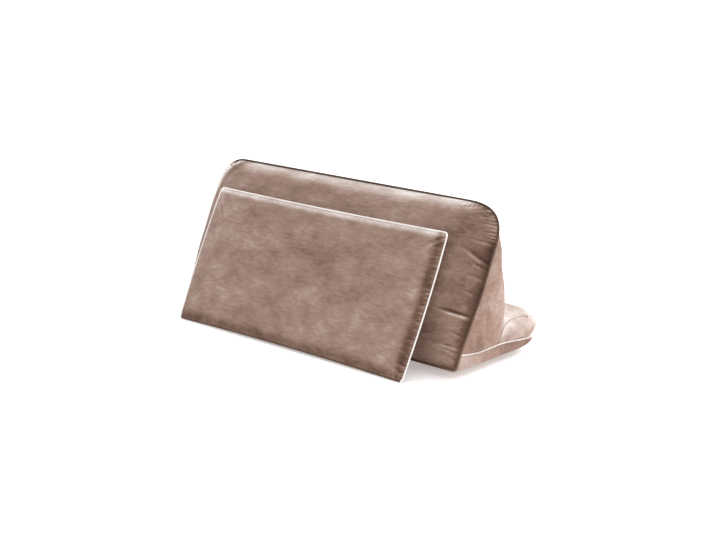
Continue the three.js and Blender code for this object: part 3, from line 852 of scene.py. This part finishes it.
velvet = {
    "stops": [
        (0.0, srgb(56, 40, 32)), (1.0, srgb(250, 248, 246)), (0.25, srgb(100, 75, 62)),
        (0.5, srgb(149, 123, 111)), (0.72, srgb(189, 174, 166)), (0.86, srgb(220, 213, 209)),
    ],
    "noises": {  # scale, detail, roughness and stretch
        "mottle": (17.0, 6.0, 0.64, (0.8, 1.1, 1.25)),
        "cloud": (6.0, 2.0, 0.5, (0.8, 1.1, 1.25)),
        "grain": (420.0, 3.0, 0.7, (1.0, 1.0, 1.0)),
        "strokes": (110.0, 3.0, 0.6, (0.35, 1.0, 1.5)),
    },
    "mottle": 0.442, "cloud": 0.182, "grain": 0.16, "strokes": 0.264,  # how far each noise shifts the tone
    "bump": {"grain": 0.6, "mottle": 0.8, "strength": 0.25, "distance": 0.0012},
    "roughness": 0.9, "gloss": 0.15, "sheen": 0.30, "sheenRough": 0.35, "sheenTint": (1.0, 0.94, 0.90, 1.0),
}


def makeVelvet(name, strength):
    # Blotches of two sizes, a fine grain and brushed strokes shift the tone, which a ramp turns to colour.
    material = bpy.data.materials.new(name)
    material.use_nodes = True
    tree = material.node_tree
    tree.nodes.clear()
    spot = addNode(tree, "ShaderNodeTexCoord", {}, {}, "Object")
    noise = {}
    for key, (scale, detail, roughness, stretch) in velvet["noises"].items():
        stretched = addNode(tree, "ShaderNodeMapping", {}, {"Vector": spot, "Scale": stretch})
        noise[key] = addNode(tree, "ShaderNodeTexNoise", {}, {
            "Vector": stretched, "Scale": scale, "Detail": detail, "Roughness": roughness,
        })
    # The tone on each point, painted light and shade included.
    tone = addNode(tree, "ShaderNodeAttribute", {"attribute_name": "pileAndLight"}, {}, "Fac")
    for key, layer in noise.items():
        tone = tone + (layer - 0.5) * (velvet[key] * (1.0 if key == "grain" else strength))
    colour = addNode(tree, "ShaderNodeValToRGB", {"stops": velvet["stops"]}, {"Fac": tone})
    relief = noise["grain"] * velvet["bump"]["grain"] + noise["mottle"] * velvet["bump"]["mottle"]
    bump = addNode(tree, "ShaderNodeBump", {}, {
        "Height": relief, "Strength": velvet["bump"]["strength"], "Distance": velvet["bump"]["distance"],
    })
    shader = addNode(tree, "ShaderNodeBsdfPrincipled", {}, {
        "Base Color": colour, "Roughness": velvet["roughness"], "Normal": bump,
        "Sheen Weight": velvet["sheen"], "Sheen Roughness": velvet["sheenRough"],
        "Sheen Tint": velvet["sheenTint"], "Specular IOR Level": velvet["gloss"],
    })
    addNode(tree, "ShaderNodeOutputMaterial", {}, {"Surface": shader})
    return material


coverVelvet = makeVelvet("cover_velvet", 1.0)
pipingVelvet = makeVelvet("piping_velvet", 0.5)

for piece, node, slot, material in (
    (wedgeCover, "wedge", "velvet", coverVelvet),
    (footCover, "foot", "velvet", coverVelvet),
    (flapCover, "flap", "velvet", coverVelvet),
    (wedgePipe, "wedge_piping", "piping_velvet", pipingVelvet),
    (basePipe, "base_piping", "piping_velvet", pipingVelvet),
    (flapPipe, "flap_piping", "piping_velvet", pipingVelvet),
):
    piece.data.materials.append(material)
    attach(piece, "root")
    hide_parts(node)

print("velvet set")


# Stage: a pale floor, a white room and soft lights from the far side and from the right
stage = {
    "floor": 0.96, "floorRough": 0.9, "glow": 0.3, "room": 1.12, "reach": 30.0, "white": (1.0, 1.0, 1.0, 1.0),
    "lights": {
        "far key": {"spot": (1.2, 2.6, 2.2), "target": (0, 0, 0.2), "size": 2.2, "power": 75},
        "right key": {"spot": (3.2, 0.6, 1.2), "target": (0.3, 0, 0.15), "size": 1.6, "power": 12},
    },
}


def addFloor():
    mesh = bpy.data.meshes.new("floor")
    corners = [(x * stage["reach"], y * stage["reach"], 0) for x, y in ((-1, -1), (1, -1), (1, 1), (-1, 1))]
    mesh.from_pydata(corners, [], [(0, 1, 2, 3)])
    floor = bpy.data.objects.new("floor", mesh)
    bpy.context.collection.objects.link(floor)
    material = bpy.data.materials.new("floor")
    material.use_nodes = True
    shader = material.node_tree.nodes["Principled BSDF"]
    shader.inputs["Base Color"].default_value = (stage["floor"],) * 3 + (1.0,)
    shader.inputs["Roughness"].default_value = stage["floorRough"]
    shader.inputs["Emission Color"].default_value = stage["white"]
    shader.inputs["Emission Strength"].default_value = stage["glow"]
    mesh.materials.append(material)


def addRoom():
    world = bpy.data.worlds.new("room")
    world.use_nodes = True
    background = world.node_tree.nodes["Background"]
    background.inputs["Color"].default_value = stage["white"]
    background.inputs["Strength"].default_value = stage["room"]
    bpy.context.scene.world = world


def addLight(name, spot, target, size, power):
    data = bpy.data.lights.new(name, "AREA")
    data.size, data.energy = size, power
    light = bpy.data.objects.new(name, data)
    light.location = spot
    light.rotation_euler = aimed(spot, target)
    bpy.context.collection.objects.link(light)


addFloor()
addRoom()
for name, light in stage["lights"].items():
    addLight(name, **light)
bpy.context.scene.view_settings.view_transform = "Standard"
print("stage set")
